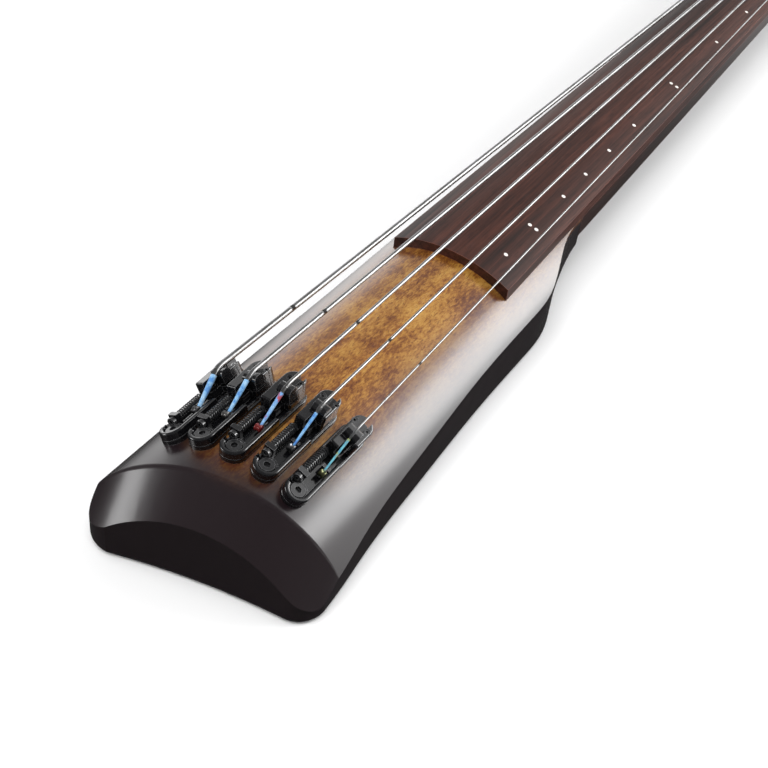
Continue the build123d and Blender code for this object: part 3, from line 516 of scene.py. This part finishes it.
def make_string(index):
    number = index + 1
    radius = STRING_RADII[index]
    steel = LOOKS["string_steel"]
    local = bridge_frame(index)
    ball = local @ TAIL
    saddle = saddle_point(index)
    nut = nut_point(index)
    px, pv = POSTS[index]
    centre = head_point(px, pv, 9.0)
    wrap = POST_RADIUS + 0.4 + radius
    inward = Vector((-1 if px > 0 else 1, 0, 0))
    run = centre - nut
    normal = run.normalized().cross(inward).normalized()
    swing = math.asin(wrap / run.length)
    way = Matrix.Rotation(swing, 3, normal) @ run.normalized()
    touch = nut + way * math.sqrt(run.length**2 - wrap**2)
    bend = rounded(ball, saddle, nut, 14.0, 14)
    nut_bend = rounded(saddle, nut, touch, 30.0, 8)
    spoke = touch - centre
    coil = []
    turns = 3.2 if radius < 1.0 else 2.2
    drop = min(2.02 * radius, 2.4)
    sense = -1
    steps = int(turns * 28)
    up = head_point(0, 0, 1) - head_point(0, 0, 0)
    for i in range(steps + 1):
        share = i / steps
        angle = sense * 2 * math.pi * turns * share
        coil.append(centre + Matrix.Rotation(angle, 3, normal) @ spoke - up * (drop * turns * share))
    saddle_y = saddle.y
    front = densify([bend[-1], nut_bend[0]], 6.0)
    tail_line = densify([ball] + bend, 0.8)
    tail, crown = split_at(tail_line, saddle_y - 1.0)
    whole = crown + front[1:]
    near, far = split_at(whole, saddle_y + 60.0)
    near = densify(near, 2.5)
    lower, upper = split_at(tail, saddle_y - 10.5)
    near_piece = tube(f"string_{number}_saddle_stretch", near, radius, steel)
    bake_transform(near_piece)
    far_piece = tube(f"string_{number}_speaking_length", far, radius, steel)
    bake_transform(far_piece)
    head_line = nut_bend + densify([nut_bend[-1], touch], 5.0)[1:-1] + coil
    head_piece = tube(f"string_{number}_winding", head_line, radius, steel)
    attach(head_piece, "bass")
    thread = SILKS[index]
    bare = saddle_y - 4.5
    neck_part, top_part = split_at(densify(upper, 0.5), bare)
    upper_piece = tube(
        f"string_{number}_silk_upper", neck_part,
        [silk_radius(radius, point.y, ball.y, saddle_y) for point in neck_part], thread,
    )
    bend_piece = tube(f"string_{number}_saddle_bend", top_part, radius, steel)
    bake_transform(bend_piece)
    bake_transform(upper_piece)
    lower_piece = tube(
        f"string_{number}_silk_lower", lower,
        [silk_radius(radius, point.y, ball.y, saddle_y) for point in lower], thread,
    )
    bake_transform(lower_piece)
    turned = local @ Matrix.Translation(TAIL + Vector((0, -1.8, 0))) @ Matrix.Rotation(math.pi / 2, 4, "Y")
    profile = [(-1.7, 0.8), (-1.7, 1.8), (-1.4, 2.1), (-0.9, 2.1), (-0.5, 1.6), (0.5, 1.6),
               (0.9, 2.1), (1.4, 2.1), (1.7, 1.8), (1.7, 0.8)]
    end = lathe(f"string_{number}_ball", turned, profile, BALLS[index])
    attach(end, "bass")
    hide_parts(f"string_{number}")


def make_spring(index):
    number = index + 1
    local = bridge_frame(index)
    turns = 12
    per_turn = 24
    points = []
    for i in range(turns * per_turn + 1):
        share = i / (turns * per_turn)
        angle = 2 * math.pi * turns * share
        y = SPRING_START + 0.5 + (SPRING_END - SPRING_START - 1.0) * share
        offset = Vector((2.2 * math.cos(angle), 0, 2.2 * math.sin(angle)))
        points.append(local @ (Vector((SCREW_X, y, SCREW_Z)) + offset))
    spring = tube(
        f"intonation_spring_{number}", points, 0.42, LOOKS["black_screw_steel"], 8
    )
    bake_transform(spring)
    if index == 0:
        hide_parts("intonation_springs")


for index in range(STRINGS):
    make_string(index)
    make_spring(index)


# ================= floor, light and camera =================
def floor_look():
    g = Graph("studio_floor")
    tone = g.ramp(g.noise(3.0, 2.0), (0.3, (0.96, 0.96, 0.965)), (0.7, (0.985, 0.985, 0.985)))
    return g.surface(tone, 0.6)


floor_size = 6.0
mesh = bpy.data.meshes.new("studio_floor")
corners = [(-floor_size, -floor_size, 0), (floor_size, -floor_size, 0), (floor_size, floor_size, 0),
           (-floor_size, floor_size, 0)]
mesh.from_pydata(corners, [], [(0, 1, 2, 3)])
mesh.materials.append(floor_look())
floor = bpy.data.objects.new("studio_floor", mesh)
floor.location.z = cad_box[0][2] - 0.0005
bpy.context.scene.collection.objects.link(floor)
floor.visible_glossy = False

world = bpy.data.worlds.new("studio")
world.use_nodes = True
bpy.context.scene.world = world


def studio_sky(tree):
    """A dim studio with one broad pale wall behind the head of the instrument."""
    background = tree.nodes["Background"]
    coords = tree.nodes.new("ShaderNodeTexCoord")
    split = tree.nodes.new("ShaderNodeSeparateXYZ")
    tree.links.new(coords.outputs["Generated"], split.inputs[0])
    wall = tree.nodes.new("ShaderNodeMapRange")
    wall.interpolation_type = "SMOOTHSTEP"
    wall.inputs["From Min"].default_value = 0.25
    wall.inputs["From Max"].default_value = 0.75
    tree.links.new(split.outputs["Y"], wall.inputs["Value"])
    height = tree.nodes.new("ShaderNodeMapRange")
    height.interpolation_type = "SMOOTHSTEP"
    height.inputs["From Min"].default_value = -0.50
    height.inputs["From Max"].default_value = -0.10
    tree.links.new(split.outputs["Z"], height.inputs["Value"])
    both = tree.nodes.new("ShaderNodeMath")
    both.operation = "MULTIPLY"
    tree.links.new(wall.outputs["Result"], both.inputs[0])
    tree.links.new(height.outputs["Result"], both.inputs[1])
    # the middle of the wall is open and dark, so that the crest keeps its colour
    centre = tree.nodes.new("ShaderNodeVectorMath")
    centre.operation = "DOT_PRODUCT"
    centre.inputs[1].default_value = (-0.34, 0.63, 0.69)
    tree.links.new(coords.outputs["Generated"], centre.inputs[0])
    sides = tree.nodes.new("ShaderNodeMapRange")
    sides.interpolation_type = "SMOOTHSTEP"
    sides.inputs["From Min"].default_value = 0.95
    sides.inputs["From Max"].default_value = 0.60
    sides.inputs["To Min"].default_value = 0.12
    tree.links.new(centre.outputs["Value"], sides.inputs["Value"])
    parted = tree.nodes.new("ShaderNodeMath")
    parted.operation = "MULTIPLY"
    tree.links.new(both.outputs[0], parted.inputs[0])
    tree.links.new(sides.outputs["Result"], parted.inputs[1])
    level = tree.nodes.new("ShaderNodeMapRange")
    level.inputs["To Min"].default_value = 0.0
    level.inputs["To Max"].default_value = 2.2
    tree.links.new(parted.outputs[0], level.inputs["Value"])
    above = tree.nodes.new("ShaderNodeMapRange")
    above.interpolation_type = "SMOOTHSTEP"
    above.inputs["From Min"].default_value = -0.25
    above.inputs["From Max"].default_value = 0.25
    above.inputs["To Min"].default_value = 0.04
    above.inputs["To Max"].default_value = 0.15
    tree.links.new(split.outputs["Z"], above.inputs["Value"])
    total = tree.nodes.new("ShaderNodeMath")
    tree.links.new(level.outputs["Result"], total.inputs[0])
    tree.links.new(above.outputs["Result"], total.inputs[1])
    tree.links.new(total.outputs[0], background.inputs["Strength"])
    background.inputs["Color"].default_value = (1.0, 1.0, 1.0, 1.0)


studio_sky(world.node_tree)


def soft_light(name, place, target, size, power):
    data = bpy.data.lights.new(name, "AREA")
    data.shape = "RECTANGLE"
    data.size, data.size_y = size
    data.energy = power
    light = bpy.data.objects.new(name, data)
    light.location = place
    light.rotation_euler = (Vector(target) - Vector(place)).to_track_quat("-Z", "Y").to_euler()
    bpy.context.scene.collection.objects.link(light)
    return light


soft_light("right_softbox", (1.25, 1.45, 0.90), (0.03, 0.08, 0.04), (1.1, 0.7), 21.0)
soft_light("left_softbox", (-1.50, -0.95, 0.45), (0.0, -0.05, 0.04), (0.9, 0.5), 9.0)
top = soft_light("top_softbox", (-0.2, -0.6, 2.2), (0.0, 0.05, 0.0), (2.0, 2.0), 54.0)
top.visible_glossy = False

camera_data = bpy.data.cameras.new("camera")
camera_data.sensor_width = 36.0
camera_data.lens = 62.53
camera_data.clip_start = 0.01
camera = bpy.data.objects.new("camera", camera_data)
right = Vector((0.83542321, 0.54020937, 0.10120225))
down = Vector((0.43007269, -0.52789821, -0.73236669))
forward = Vector((-0.34220686, 0.65536045, -0.67334771))
rotation = Matrix((right, -down, -forward)).transposed().to_4x4()
camera.matrix_world = Matrix.Translation((0.259516, -0.398017, 0.511408)) @ rotation
bpy.context.scene.collection.objects.link(camera)
bpy.context.scene.camera = camera
bpy.context.scene.view_settings.view_transform = "Standard"
